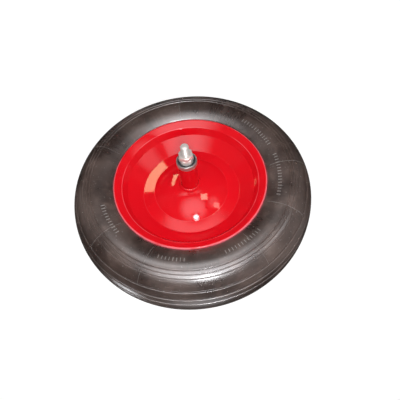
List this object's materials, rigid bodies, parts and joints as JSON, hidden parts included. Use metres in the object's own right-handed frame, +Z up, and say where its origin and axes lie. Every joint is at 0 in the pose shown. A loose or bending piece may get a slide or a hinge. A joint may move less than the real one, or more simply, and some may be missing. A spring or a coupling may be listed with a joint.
{
  "type": "wheelbarrow wheel",
  "caption": "Air-filled wheelbarrow wheel: ribbed tyre on a red welded disc rim, hub tube with cup-and-cone ball bearings and a threaded axle",
  "frame": {"origin": "middle of the axle, on the wheel's middle plane", "axes": "+Y along the axle towards the valve side, +Z up with the wheel standing, so the face in the picture looks along -Y"},
  "size_m": [0.372, 0.246, 0.372],
  "materials": {
    "tyre": "moulded black rubber, slightly glossy",
    "soft_rubber": "plain black rubber",
    "red_paint": "glossy red paint",
    "cup_steel": "grey pressed steel",
    "shield_steel": "dark greasy steel",
    "ball_steel": "polished bearing steel",
    "zinc": "bright zinc plating",
    "brass": "plain brass",
    "cap_plastic": "matt black"
  },
  "bodies": {
    "axle": {"axle": "zinc", "front_cone": "zinc", "rear_cone": "zinc", "front_lock_nut": "zinc", "rear_lock_nut": "zinc"},
    "wheel": {"tyre": "tyre", "inner_tube": "soft_rubber", "rim_tape": "soft_rubber", "rim_hoop": "red_paint", "front_disc": "red_paint", "rear_disc": "red_paint", "hub_tube": "red_paint", "front_hub_weld": "red_paint", "rear_hub_weld": "red_paint", "front_bearing_cup": "cup_steel", "rear_bearing_cup": "cup_steel", "front_dust_shield": "shield_steel", "rear_dust_shield": "shield_steel", "valve_stem": "brass", "valve_nut": "brass", "valve_core": "brass", "valve_cap": "cap_plastic"},
    "front_balls": {"front_ball_cage": "ball_steel"},
    "rear_balls": {"rear_ball_cage": "ball_steel"}
  },
  "joints": [
    {"name": "wheel_spin", "type": "hinge", "parent": "axle", "child": "wheel", "pos_m": [0, 0, 0], "axis": [0, 1, 0], "continuous": true},
    {"name": "front_balls_orbit", "type": "hinge", "parent": "axle", "child": "front_balls", "pos_m": [0, -0.0862, 0], "axis": [0, 1, 0], "continuous": true},
    {"name": "rear_balls_orbit", "type": "hinge", "parent": "axle", "child": "rear_balls", "pos_m": [0, 0.0862, 0], "axis": [0, 1, 0], "continuous": true}
  ],
  "couplings": [
    {"joint": "front_balls_orbit", "follows": "wheel_spin", "ratio": 0.586},
    {"joint": "rear_balls_orbit", "follows": "wheel_spin", "ratio": 0.586}
  ]
}
